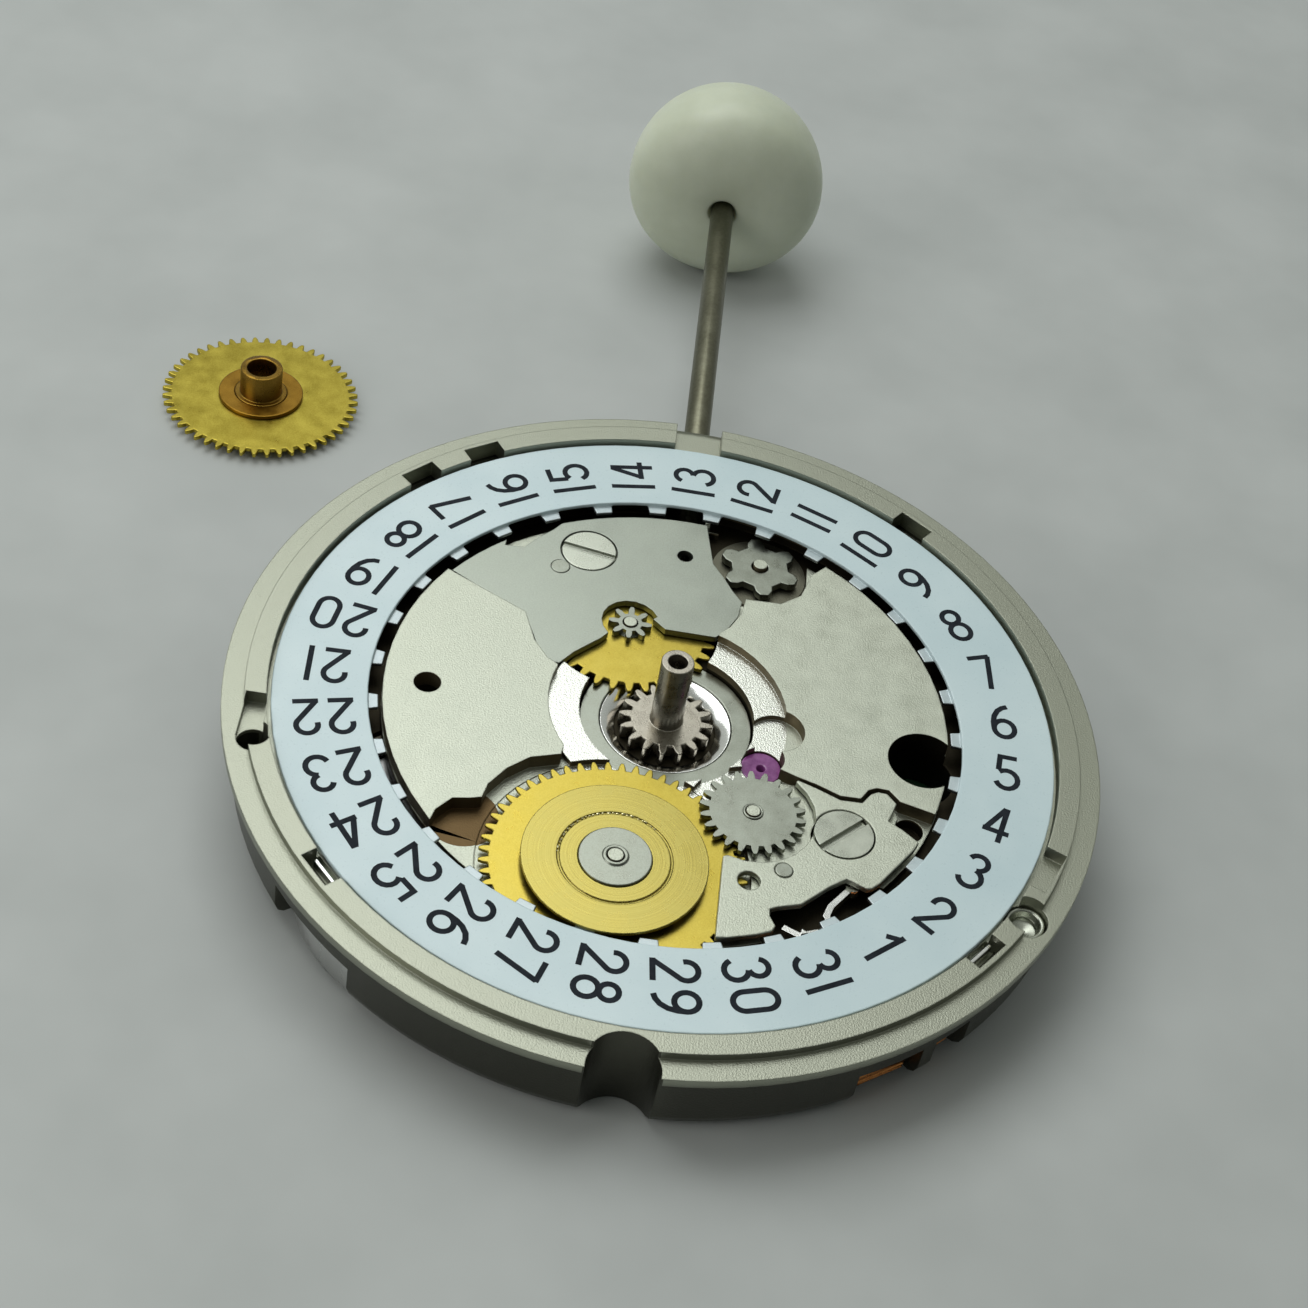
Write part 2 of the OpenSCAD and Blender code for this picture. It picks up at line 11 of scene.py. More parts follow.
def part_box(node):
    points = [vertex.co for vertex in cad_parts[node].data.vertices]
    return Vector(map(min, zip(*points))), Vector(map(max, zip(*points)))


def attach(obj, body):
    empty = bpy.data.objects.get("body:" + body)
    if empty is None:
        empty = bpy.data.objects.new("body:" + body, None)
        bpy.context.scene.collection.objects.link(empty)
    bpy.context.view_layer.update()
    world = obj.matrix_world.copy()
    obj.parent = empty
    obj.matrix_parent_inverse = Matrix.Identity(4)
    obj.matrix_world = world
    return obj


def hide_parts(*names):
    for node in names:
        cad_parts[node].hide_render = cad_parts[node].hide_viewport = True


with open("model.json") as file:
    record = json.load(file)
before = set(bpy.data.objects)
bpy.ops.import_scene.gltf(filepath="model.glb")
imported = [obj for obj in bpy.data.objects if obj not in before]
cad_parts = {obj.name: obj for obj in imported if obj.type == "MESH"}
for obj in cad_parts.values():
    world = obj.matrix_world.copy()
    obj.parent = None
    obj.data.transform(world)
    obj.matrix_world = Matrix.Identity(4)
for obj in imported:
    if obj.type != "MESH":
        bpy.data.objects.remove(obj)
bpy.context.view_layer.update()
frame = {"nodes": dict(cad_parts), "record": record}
nodes = frame["nodes"]
slot_of = {row["node"]: row["material_slot"] for row in frame["record"]["subparts"]}
body_of = {member: body for body, members in frame["record"]["behaviour"]["bodies"].items()
           for member in members}
MM = 0.001
TAU = 2 * math.pi


def mm(*v):
    """A point given in millimetres, in metres."""
    return Vector(v) * MM


def middle(name):
    """The middle of a node's box, in metres."""
    low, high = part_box(name)
    return (low + high) / 2


def box_mm(name):
    """The low and the high corner of a node's box, in millimetres."""
    low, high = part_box(name)
    return low / MM, high / MM


def heading(degrees):
    """The level direction at an angle from the stem's side, anticlockwise."""
    angle = math.radians(degrees)
    return Vector((math.cos(angle), math.sin(angle), 0))


def up(height):
    return Vector((0, 0, height))


# ---------------------------------------------------------------- shader nodes
def feed(tree, source, socket):
    """Gives a socket its value: the output of another node, or a plain number or vector."""
    if isinstance(source, bpy.types.NodeSocket):
        tree.links.new(source, socket)
    else:
        socket.default_value = source


def maths(tree, operation, *operands):
    """The result of a sum on numbers or sockets."""
    made = tree.nodes.new("ShaderNodeMath")
    made.operation = operation
    for operand, socket in zip(operands, made.inputs):
        feed(tree, operand, socket)
    return made.outputs[0]


def vector_maths(tree, operation, *operands):
    """The result of a sum on vectors or sockets, which is a number for a length or a dot product."""
    made = tree.nodes.new("ShaderNodeVectorMath")
    made.operation = operation
    for operand, socket in zip(operands, made.inputs):
        feed(tree, operand, socket)
    return made.outputs["Value" if operation in ("LENGTH", "DOT_PRODUCT") else "Vector"]


def remap(tree, source, from_low, from_high, to_low=0.0, to_high=1.0):
    """Stretches one range of values onto another and stops at its ends."""
    made = tree.nodes.new("ShaderNodeMapRange")
    ends = {"From Min": from_low, "From Max": from_high, "To Min": to_low, "To Max": to_high}
    for name, value in ends.items():
        made.inputs[name].default_value = value
    tree.links.new(source, made.inputs["Value"])
    return made.outputs["Result"]


def ramp(tree, source, *stops):
    """Blends between two colours, each given with its place on the source's scale."""
    made = tree.nodes.new("ShaderNodeValToRGB")
    for (place, colour), mark in zip(stops, made.color_ramp.elements):
        mark.position = place
        mark.color = (*colour, 1)
    tree.links.new(source, made.inputs["Fac"])
    return made.outputs["Color"]


def own_place(tree):
    """The shaded point in the part's own coordinates, in metres."""
    return tree.nodes.new("ShaderNodeTexCoord").outputs["Object"]


def axis_distance(tree, centre):
    """The shaded point's distance from the upright line through a centre, in metres."""
    offset = vector_maths(tree, "SUBTRACT", own_place(tree), centre)
    return vector_maths(tree, "LENGTH", vector_maths(tree, "MULTIPLY", offset, (1, 1, 0)))


def noise(tree, size_mm, detail=3.0):
    """Noise whose features are about size_mm across, in the part's own coordinates."""
    made = tree.nodes.new("ShaderNodeTexNoise")
    made.inputs["Scale"].default_value = 1 / (size_mm * MM)
    made.inputs["Detail"].default_value = detail
    made.inputs["Roughness"].default_value = 0.55
    tree.links.new(own_place(tree), made.inputs["Vector"])
    return made.outputs["Fac"]


def rings(tree, centre, size_mm):
    """Noise that only changes with the distance from an upright line: turning marks."""
    made = tree.nodes.new("ShaderNodeTexNoise")
    made.noise_dimensions = "1D"
    made.inputs["Scale"].default_value = 1 / (size_mm * MM)
    made.inputs["Detail"].default_value = 3.0
    tree.links.new(axis_distance(tree, centre), made.inputs["W"])
    return made.outputs["Fac"]


def bump(tree, shader, source, depth_mm, edge_mm=0.0, strength=1.0):
    """Relief from a pattern, laid on normals that turn gently within edge_mm of an edge."""
    made = tree.nodes.new("ShaderNodeBump")
    made.inputs["Strength"].default_value = strength
    made.inputs["Distance"].default_value = depth_mm * MM
    tree.links.new(source, made.inputs["Height"])
    if edge_mm:
        rounded = tree.nodes.new("ShaderNodeBevel")
        rounded.samples = 4
        rounded.inputs["Radius"].default_value = edge_mm * MM
        tree.links.new(rounded.outputs["Normal"], made.inputs["Normal"])
    tree.links.new(made.outputs["Normal"], shader.inputs["Normal"])


# ---------------------------------------------------------------- masks
def below(tree, height_mm):
    """1 under a height of the part's own frame, 0 above it."""
    soft_mm = 0.01
    split = tree.nodes.new("ShaderNodeSeparateXYZ")
    tree.links.new(own_place(tree), split.inputs[0])
    return remap(tree, split.outputs["Z"], (height_mm + soft_mm) * MM, (height_mm - soft_mm) * MM)


def within(tree, radius_mm, centre_mm=(0, 0)):
    """1 within a radius of an upright line, 0 outside it."""
    distance = axis_distance(tree, (centre_mm[0] * MM, centre_mm[1] * MM, 0))
    return maths(tree, "LESS_THAN", distance, radius_mm * MM)


def beyond(tree, radius_mm):
    return maths(tree, "SUBTRACT", 1, within(tree, radius_mm))


def both(tree, first, second):
    return maths(tree, "MULTIPLY", first, second)


def steep(tree):
    """1 on upright walls, 0 on level faces."""
    split = tree.nodes.new("ShaderNodeSeparateXYZ")
    normal = tree.nodes.new("ShaderNodeNewGeometry").outputs["True Normal"]
    tree.links.new(normal, split.inputs[0])
    return maths(tree, "LESS_THAN", maths(tree, "ABSOLUTE", split.outputs["Z"]), 0.4)


# ---------------------------------------------------------------- materials
NOISE_LOW, NOISE_HIGH = 0.3, 0.7    # where nearly all of a noise's values lie
NICKEL = ((0.39, 0.405, 0.335), (0.56, 0.585, 0.495), 0.42, 0.05, 0.009, 0.7, 0.05)


def new_material(name):
    mat = bpy.data.materials.new(name)
    mat.use_nodes = True
    return mat, mat.node_tree, mat.node_tree.nodes["Principled BSDF"]


def metal_finish(tree, shader, dark, light, rough, grain_mm, depth_mm, mottle_mm=0.9, edge_mm=0.03,
                 centre=None, metallic=1.0):
    """A metal with fine grain, slow tone changes and softened edges; a centre turns the grain into rings."""
    slow = noise(tree, mottle_mm, 4.0)
    fine = noise(tree, grain_mm, 2.0) if centre is None else rings(tree, centre, grain_mm)
    tone = maths(tree, "MULTIPLY_ADD", fine, 0.45, maths(tree, "MULTIPLY", slow, 0.55))
    tree.links.new(ramp(tree, tone, (0.32, dark), (0.66, light)), shader.inputs["Base Color"])
    tree.links.new(remap(tree, slow, NOISE_LOW, NOISE_HIGH, rough * 0.85, rough * 1.2),
                   shader.inputs["Roughness"])
    shader.inputs["Metallic"].default_value = metallic
    bump(tree, shader, fine, depth_mm, edge_mm)


def plastic_finish(tree, shader, dark, light, rough, grain_mm, depth_mm, mottle_mm=1.5, edge_mm=0.02,
                   coat=0.0, scatter=0.0):
    """A plastic, lacquer or ink, with an optional clear coat and light that scatters inside it."""
    slow = noise(tree, mottle_mm, 4.0)
    fine = noise(tree, grain_mm)
    tree.links.new(ramp(tree, slow, (NOISE_LOW, dark), (NOISE_HIGH, light)), shader.inputs["Base Color"])
    tree.links.new(remap(tree, fine, NOISE_LOW, NOISE_HIGH, rough * 0.8, rough * 1.2),
                   shader.inputs["Roughness"])
    if coat:
        shader.inputs["Coat Weight"].default_value = coat
        shader.inputs["Coat Roughness"].default_value = 0.12
    if scatter:
        shader.inputs["Subsurface Weight"].default_value = scatter
        shader.inputs["Subsurface Radius"].default_value = (0.9, 0.8, 0.55)
        shader.inputs["Subsurface Scale"].default_value = 0.9 * MM
    bump(tree, shader, fine, depth_mm, edge_mm)


def metal(name, *finish, **extras):
    """A material with a metal finish; metal_finish says what the values mean."""
    mat, tree, shader = new_material(name)
    metal_finish(tree, shader, *finish, **extras)
    return mat


def plastic(name, *finish, **extras):
    """A material with a plastic finish; plastic_finish says what the values mean."""
    mat, tree, shader = new_material(name)
    plastic_finish(tree, shader, *finish, **extras)
    return mat


def date_ring_material():
    """Pale lacquer on the printed flange, bare steel below it and on the teeth."""
    flange_underside_mm = 2.722
    mat, tree, lacquer = new_material("ring_lacquer_over_steel")
    bare = tree.nodes.new("ShaderNodeBsdfPrincipled")
    plastic_finish(tree, lacquer, (0.58, 0.72, 0.76), (0.66, 0.79, 0.82), 0.32, 0.08, 0.0008, 3.0, 0.06,
                   coat=0.35)
    metal_finish(tree, bare, (0.34, 0.38, 0.40), (0.48, 0.52, 0.53), 0.36, 0.03, 0.002, 0.4, 0.02)
    blend = tree.nodes.new("ShaderNodeMixShader")
    tree.links.new(below(tree, flange_underside_mm), blend.inputs["Fac"])
    tree.links.new(lacquer.outputs[0], blend.inputs[1])
    tree.links.new(bare.outputs[0], blend.inputs[2])
    tree.links.new(blend.outputs[0], tree.nodes["Material Output"].inputs["Surface"])
    return mat


def ruby_material():
    mat, tree, shader = new_material("ruby")
    tone = noise(tree, 0.25)
    tree.links.new(ramp(tree, tone, (NOISE_LOW, (0.30, 0.05, 0.30)), (NOISE_HIGH, (0.52, 0.16, 0.50))),
                   shader.inputs["Base Color"])
    shader.inputs["Roughness"].default_value = 0.08
    shader.inputs["Transmission Weight"].default_value = 0.35
    shader.inputs["IOR"].default_value = 1.76
    bump(tree, shader, tone, 0.002, 0.03, 0.4)
    return mat


def ink_material():
    mat = plastic("numeral_ink", (0.006, 0.009, 0.014), (0.018, 0.023, 0.032), 0.55, 0.05, 0.0006, 0.3, 0)
    mat.node_tree.nodes["Principled BSDF"].inputs["Specular IOR Level"].default_value = 0.12
    return mat


def tint(tree, shader, factor, colour, rough):
    """Turns the base colour and the roughness towards new values where factor is 1."""
    sockets = {"RGBA": (6, 7, 2), "FLOAT": (2, 3, 0)}    # a mix node's first, second and result
    for name, kind, goal in (("Base Color", "RGBA", (*colour, 1)), ("Roughness", "FLOAT", rough)):
        made = tree.nodes.new("ShaderNodeMix")
        made.data_type = kind
        first, second, result = sockets[kind]
        tree.links.new(factor, made.inputs[0])
        tree.links.new(shader.inputs[name].links[0].from_socket, made.inputs[first])
        made.inputs[second].default_value = goal
        tree.links.new(made.outputs[result], shader.inputs[name])


def main_plate_material():
    """Frosted nickel that is polished or bare in places, with painted shade darkening its recesses, holes,
    walls and rim. Radii and heights are in mm.
    """
    mat = metal("main_plate_nickel", *NICKEL)
    tree = mat.node_tree
    shader = tree.nodes["Principled BSDF"]
    dial_side = both(tree, within(tree, 9.3), maths(tree, "SUBTRACT", 1, below(tree, 1.72)))
    centre_recess = both(tree, within(tree, 3.575), below(tree, 2.53))
    # painted shade: the recess walls, the deep floors, the floor by the corrector wheel, the recess at
    # (-4.95, 5.35) and the south hole are tinted dark where shade falls; that recess is tinted dark brown
    shaded_recess_walls = both(tree, dial_side, steep(tree))
    shaded_deep_floors = both(tree, dial_side, below(tree, 2.26))
    shaded_corrector_floor = both(tree, within(tree, 1.5, middle("corrector_wheel") / MM), below(tree, 2.1))
    shaded_brown_recess = both(tree, within(tree, 1.05, (-4.95, 5.35)), below(tree, 2.36))
    # painted shade: the rim is tinted darker, and the outer wall and the notch wall nearly black, as walls
    # that face dark surroundings look
    rim = beyond(tree, 11.55)
    shaded_outer_wall = both(tree, beyond(tree, 11.85), below(tree, 2.43))
    shaded_notch_wall = both(tree, within(tree, 1.05, (-12.75, 0.1)), steep(tree))
    shaded_south_hole = within(tree, 1.06, (-0.5, -7.6))
    # every tint below is painted shade, except the first: the lighter, polished centre recess
    for factor, colour, rough in ((centre_recess, (0.66, 0.67, 0.61), 0.26),
                                  (shaded_recess_walls, (0.17, 0.14, 0.09), 0.5),
                                  (shaded_deep_floors, (0.035, 0.03, 0.02), 0.55),
                                  (shaded_corrector_floor, (0.17, 0.165, 0.125), 0.5),
                                  (shaded_brown_recess, (0.13, 0.085, 0.04), 0.45),
                                  (rim, (0.34, 0.35, 0.285), 0.38),
                                  (shaded_outer_wall, (0.10, 0.10, 0.08), 0.34),
                                  (shaded_notch_wall, (0.10, 0.10, 0.08), 0.4),
                                  (shaded_south_hole, (0.03, 0.026, 0.018), 0.5)):
        tint(tree, shader, factor, colour, rough)
    return mat


screw_metal = metal("screw_steel", (0.36, 0.375, 0.32), (0.47, 0.49, 0.42), 0.28, 0.05, 0.0004, 0.6, 0.03)
bright = metal("bright_steel", (0.78, 0.78, 0.76), (0.88, 0.88, 0.86), 0.14, 0.05, 0.001, 0.8, 0.02)
cream = plastic("knob_plastic", (0.58, 0.62, 0.48), (0.68, 0.72, 0.58), 0.42, 0.12, 0.004, 2.5, 0.1,
                scatter=0.35)
black = plastic("black_plastic", (0.015, 0.015, 0.014), (0.04, 0.04, 0.036), 0.5, 0.06, 0.004)
copper = metal("coil_copper", (0.55, 0.20, 0.06), (0.78, 0.34, 0.11), 0.28, 0.05, 0.004, 0.3, 0.02)
gold = metal("contact_gold", (0.70, 0.55, 0.24), (0.84, 0.68, 0.33), 0.28, 0.06, 0.002, 0.8, 0.02)
tin = metal("crystal_tin", (0.66, 0.66, 0.64), (0.80, 0.80, 0.78), 0.25, 0.3, 0.003, 0.8, 0.05)
# painted glints: a pale brass, far lighter than the disc, that stands in for highlights on the burrs
burr_glint_metal = metal("burr_glint_brass", (0.80, 0.72, 0.40), (0.92, 0.86, 0.56), 0.12, 0.02, 0.0005, 0.2, 0)
ink = ink_material()

SLOT_LOOKS = {
    "frosted_nickel": metal("frosted_nickel", *NICKEL),
    "cover_steel": metal("cover_steel", (0.27, 0.29, 0.25), (0.36, 0.385, 0.335), 0.34, 0.05, 0.003, 1.6,
                         0.03),
    "steel": metal("turned_steel", (0.23, 0.24, 0.20), (0.33, 0.35, 0.30), 0.30, 0.04, 0.0008, 0.5, 0.02),
    "bright_steel": bright,
    "screw_steel": screw_metal,
    "gilt_brass": metal("gilt_brass", (0.36, 0.275, 0.043), (0.49, 0.39, 0.08), 0.30, 0.04, 0.002, 0.6, 0.02),
    "hour_brass": metal("hour_brass", (0.38, 0.29, 0.035), (0.54, 0.44, 0.075), 0.32, 0.05, 0.002, 0.6, 0.02),
    "date_white": date_ring_material(),
    "ruby": ruby_material(),
    "knob_plastic": cream,
    "battery_steel": metal("battery_steel", (0.60, 0.60, 0.59), (0.74, 0.74, 0.73), 0.28, 0.06, 0.001, 1.5,
                           0.06, centre=middle("battery_can")),
    "gasket": black,
    "contact_bronze": gold,
    "insulator": plastic("insulator_film", (0.10, 0.08, 0.04), (0.16, 0.13, 0.07), 0.4, 0.1, 0.002),
    "board": plastic("circuit_board", (0.02, 0.07, 0.03), (0.035, 0.11, 0.05), 0.38, 0.12, 0.003, coat=0.3),
    "chip": black,
    "crystal_can": tin,
    "coil_copper": copper,
    "soft_iron": metal("soft_iron", (0.33, 0.33, 0.31), (0.46, 0.46, 0.44), 0.45, 0.05, 0.003),
    "magnet": metal("rotor_magnet", (0.12, 0.12, 0.12), (0.2, 0.2, 0.2), 0.5, 0.05, 0.004, metallic=0.7),
}
NODE_LOOKS = {
    "main_plate": main_plate_material(),
    "date_jumper": bright,
    "date_disc": metal("gilt_disc", (0.31, 0.255, 0.065), (0.39, 0.33, 0.095), 0.26, 0.05, 0.0012, 0.6, 0.03,
                       centre=middle("date_disc")),
    "cannon_pinion": metal("cannon_steel", (0.26, 0.24, 0.20), (0.42, 0.39, 0.33), 0.28, 0.05, 0.003, 0.3,
                           0.02),
    "setting_stem": metal("stem_steel", (0.13, 0.125, 0.085), (0.21, 0.205, 0.15), 0.34, 0.12, 0.0006, 1.2,
                          0.03),
    "hour_date_pinion": metal("hour_disc_gilt", (0.24, 0.125, 0.014), (0.36, 0.20, 0.028), 0.34, 0.04,
                              0.002, 0.4, 0.02),
    "hour_pipe": metal("hour_pipe_gilt", (0.20, 0.11, 0.016), (0.32, 0.19, 0.035), 0.28, 0.04, 0.001, 0.4,
                       0.02),
}


# ---------------------------------------------------------------- the CAD nodes
def paint(thing, mat):
    thing.data.materials.clear()
    thing.data.materials.append(mat)


def soften(name, part):
    """Rounds the sharp edges of one part of the CAD model, without touching its mesh."""
    weld = part.modifiers.new("weld", "WELD")
    weld.merge_threshold = 0.0005 * MM
    if name != "keyless_cover":    # its long facets would leave a crease if they were joined
        flat = part.modifiers.new("flat", "DECIMATE")
        flat.decimate_type = "DISSOLVE"
        flat.angle_limit = math.radians(0.4)
    edge = part.modifiers.new("edge", "BEVEL")
    edge.width = 0.03 * MM
    edge.segments = 2
    edge.limit_method = "ANGLE"
    edge.angle_limit = math.radians(32)
    edge.use_clamp_overlap = True
    edge.harden_normals = False


for name, part in nodes.items():
    paint(part, NODE_LOOKS.get(name, SLOT_LOOKS[slot_of[name]]))
    soften(name, part)


# ---------------------------------------------------------------- tools for the added pieces
WIRE_WIDTH = 0.12


def add(name, mesh, mat, body, stands_for=(), smooth=40):
    """Makes a piece of the object out of a mesh whose vertices are already in place, in metres."""
    made = bpy.data.objects.new(name, mesh)
    bpy.context.collection.objects.link(made)
    mesh.materials.append(mat)
    for face in mesh.polygons:
        face.use_smooth = True
    mesh.set_sharp_from_angle(angle=math.radians(smooth))
    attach(made, body)
    if stands_for:
        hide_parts(*stands_for)


def mesh_of(name, bm):
    bmesh.ops.remove_doubles(bm, verts=bm.verts, dist=1e-8)
    bmesh.ops.recalc_face_normals(bm, faces=bm.faces)
    mesh = bpy.data.meshes.new(name)
    bm.to_mesh(mesh)
    bm.free()
    return mesh


def turned_mesh(name, profile, centre, axis, steps):
    """A turned solid: profile is a closed list of (radius, height along the axis) in mm about centre."""
    bm = bmesh.new()
    rows = []
    for i in range(steps):
        a = TAU * i / steps
        row = []
        for r, h in profile:
            round_x, round_y = r * math.cos(a), r * math.sin(a)
            spot = (h, round_x, round_y) if axis == "x" else (round_x, round_y, h)
            row.append(bm.verts.new(mm(*(c + v for c, v in zip(centre, spot)))))
        rows.append(row)
    for i in range(steps):
        near, far = rows[i], rows[(i + 1) % steps]
        for j in range(len(profile)):
            k = (j + 1) % len(profile)
            corners = [near[j], near[k]]
            if profile[k][0] > 0:
                corners.append(far[k])
            if profile[j][0] > 0:
                corners.append(far[j])
            if len(corners) > 2:
                bm.faces.new(corners)
    return mesh_of(name, bm)


def ribbon(bm, path, width, low, high, place, closed=False):
    """A flat stroke of even width along a path, as a thin closed solid."""
    spots = [Vector(p) for p in path]
    count = len(spots)
    left, right = [], []
    for i, spot in enumerate(spots):
        ways = []
        if closed or i > 0:
            ways.append((spot - spots[(i - 1) % count]).normalized())
        if closed or i < count - 1:
            ways.append((spots[(i + 1) % count] - spot).normalized())
        way = sum(ways, Vector((0, 0))).normalized()
        out = Vector((-way.y, way.x))
        reach = width / 2 / max(0.5, out.dot(Vector((-ways[0].y, ways[0].x))))
        left.append(spot + out * reach)
        right.append(spot - out * reach)
    rows = [[bm.verts.new(place(p.x, p.y, h)) for p, h in ((a, low), (b, low), (b, high), (a, high))]
            for a, b in zip(left, right)]
    for i in range(count if closed else count - 1):
        near, far = rows[i], rows[(i + 1) % count]
        for j in range(4):
            k = (j + 1) % 4
            bm.faces.new([near[j], near[k], far[k], far[j]])
    if not closed:
        bm.faces.new(rows[0])
        bm.faces.new(rows[-1][::-1])


def wire_mesh(name, points):
    """A round wire along points in mm, with closed ends."""
    path = bpy.data.curves.new(name, "CURVE")
    path.dimensions = "3D"
    path.bevel_depth = WIRE_WIDTH / 2 * MM
    path.bevel_resolution = 2
    path.use_fill_caps = True
    strand = path.splines.new("POLY")
    strand.points.add(len(points) - 1)
    for spot, where in zip(strand.points, points):
        spot.co = (*mm(*where), 1)
    holder = bpy.data.objects.new(name + "_path", path)
    bpy.context.collection.objects.link(holder)
    bpy.context.view_layer.update()
    mesh = bpy.data.meshes.new_from_object(holder.evaluated_get(bpy.context.evaluated_depsgraph_get()))
    bpy.data.objects.remove(holder)
    mesh.materials.clear()
    return mesh


# ---------------------------------------------------------------- printed dates
DIGIT_WIDTH, DIGIT_HEIGHT = 0.8, 1.4
ONE_WIDTH = 0.33
DIGIT_GAP = 0.2
STROKE = 0.165
RING_MIDDLE, PAIR_MIDDLE = 10.1, 10.02    # radius of the middle of one digit, and of two
FIRST_DATE = -139.36                      # heading of the 1, in degrees


def bend(cx, cy, rx, ry, start, end, steps=14):
    """Points along part of an ellipse, from one angle to another in degrees."""
    angles = [math.radians(start + (end - start) * i / steps) for i in range(steps + 1)]
    return [(cx + rx * math.cos(a), cy + ry * math.sin(a)) for a in angles]


def digit(which, alone):
    """The strokes of a digit, each as (path, closed)."""
    loop = bend(0.4, 0.42, 0.31, 0.335, 0, 360, 22)[:-1]
    if which == "0":
        return [(bend(0.4, 0.98, 0.31, 0.335, 0, 180) + bend(0.4, 0.42, 0.31, 0.335, 180, 360), True)]
    if which == "1":
        flag = [([(-0.16, 1.0), (0.2, 1.31)], False)]
        return [([(0.16, 0), (0.16, 1.4)], False)] + (flag if alone else [])
    if which == "2":
        return [(bend(0.4, 1.0, 0.31, 0.315, 196, -28) + [(0.1, 0.1)], False),
                ([(0.03, 0.085), (0.76, 0.085)], False)]
    if which == "3":
        return [(bend(0.37, 1.035, 0.28, 0.28, 165, -78), False),
                (bend(0.38, 0.42, 0.33, 0.335, 82, -162), False)]
    if which == "4":
        return [([(0.54, 0), (0.54, 1.36)], False), ([(0.5, 1.34), (0.08, 0.4)], False),
                ([(0.0, 0.4), (0.78, 0.4)], False)]
    if which == "5":
        return [([(0.66, 1.315), (0.16, 1.315), (0.13, 0.78)], False),
                (bend(0.38, 0.44, 0.33, 0.355, 132, -160), False)]
    if which == "6":
        tail = [(0.09, 0.42), (0.105, 0.68), (0.17, 0.93), (0.3, 1.14), (0.46, 1.26), (0.62, 1.31)]
        return [(loop, True), (tail, False)]
    if which == "7":
        return [([(0.03, 1.315), (0.73, 1.315)], False), ([(0.69, 1.32), (0.34, 0.0)], False)]
    if which == "8":
        return [(bend(0.4, 1.045, 0.265, 0.27, 0, 360, 20)[:-1], True), (loop, True)]
    return [([(DIGIT_WIDTH - x, DIGIT_HEIGHT - y) for x, y in path], closed)
            for path, closed in digit("6", alone)]


def on_ring(degrees, start):
    """Places strokes on the date ring: x runs outwards from a radius, y along the ring."""
    along = heading(degrees)
    across = Vector((-along.y, along.x, 0))

    def place(x, y, h):
        return (along * (start + x) + across * (y - DIGIT_HEIGHT / 2)) * MM + up(h * MM)
    return place


def date_numerals():
    """The 31 printed dates: each reads outwards along its own radius, tens digit on the inside."""
    _, ring_high = box_mm("date_ring")
    sunk, proud, step = 0.004, 0.006, 0.0015    # each stroke lies a hair above the one it crosses
    bm = bmesh.new()
    for day in range(1, 32):
        text = str(day)
        wide = [ONE_WIDTH if number == "1" else DIGIT_WIDTH for number in text]
        alone = len(text) == 1
        start = (RING_MIDDLE if alone else PAIR_MIDDLE) - (sum(wide) + DIGIT_GAP * (len(text) - 1)) / 2
        for number, width in zip(text, wide):
            place = on_ring(FIRST_DATE + (day - 1) * 360 / 31, start)
            for layer, (path, closed) in enumerate(digit(number, alone)):
                top = ring_high.z + proud + step * layer
                ribbon(bm, path, STROKE, ring_high.z - sunk, top, place, closed)
            start += width + DIGIT_GAP
    add("date_numerals", mesh_of("date_numerals", bm), ink, "date_ring", smooth=20)


# ---------------------------------------------------------------- knob
def knob_bulb():
    """The setting knob: a moulded plastic bulb, rounded all over, with the stem let into its middle."""
    low, high = box_mm("setting_knob")
    radius = (high.y - low.y) / 2
    stem_z = (high.z + low.z) / 2
    waist = low.x + 2.2
    hole_r, hole_end, fullness = 0.44, low.x + 1.9, 0.8
    profile = [(hole_r, low.x + 0.3), (0.56, low.x + 0.1), (0.72, low.x + 0.05)]
    for degrees in range(18, 90, 6):
        a = math.radians(degrees)
        profile.append((radius * math.sin(a) ** fullness, waist - (waist - low.x) * math.cos(a) ** fullness))
    for degrees in range(0, 90, 6):
        a = math.radians(degrees)
        profile.append((radius * math.cos(a), waist + (high.x - waist) * math.sin(a)))
    profile += [(0.0, high.x), (0.0, hole_end), (hole_r, hole_end)]
    mesh = turned_mesh("knob_bulb", profile, (0, 0, stem_z), "x", 128)
    add("knob_bulb", mesh, cream, body_of["setting_knob"], ["setting_knob"])


# ---------------------------------------------------------------- coil, crystal and board
def coil_wire():
    """Fine copper wire wound in touching turns on the motor coil."""
    turn_steps, pitch, half_length, radius = 24, 0.118, 2.88, 0.82
    along = heading(128)
    across = Vector((-along.y, along.x, 0))
    coil_at = middle("coil_winding") / MM
    points = []
    for i in range(int(turn_steps * 2 * half_length / pitch)):
        angle = TAU * i / turn_steps
        points.append(coil_at + along * (-half_length + pitch * i / turn_steps)
                      + across * radius * math.cos(angle) + up(radius * math.sin(angle)))
    add("coil_wire", wire_mesh("coil_wire", points), copper, "movement", ["coil_winding"], 60)


def coil_lead(name, degrees, reach):
    """The coil's lead, laid to and fro in a flat hank behind one small window in the wall."""
    wall_r, low_z, pitch = 12.1, 0.2, 0.125
    outward = heading(degrees)
    sideways = Vector((-outward.y, outward.x, 0))
    points = []
    for row in range(9):
        for side in (-1, 1) if row % 2 else (1, -1):
            points.append(outward * wall_r + sideways * reach * side + up(low_z + pitch * row))
    add(name, wire_mesh(name, points), copper, "movement", smooth=60)


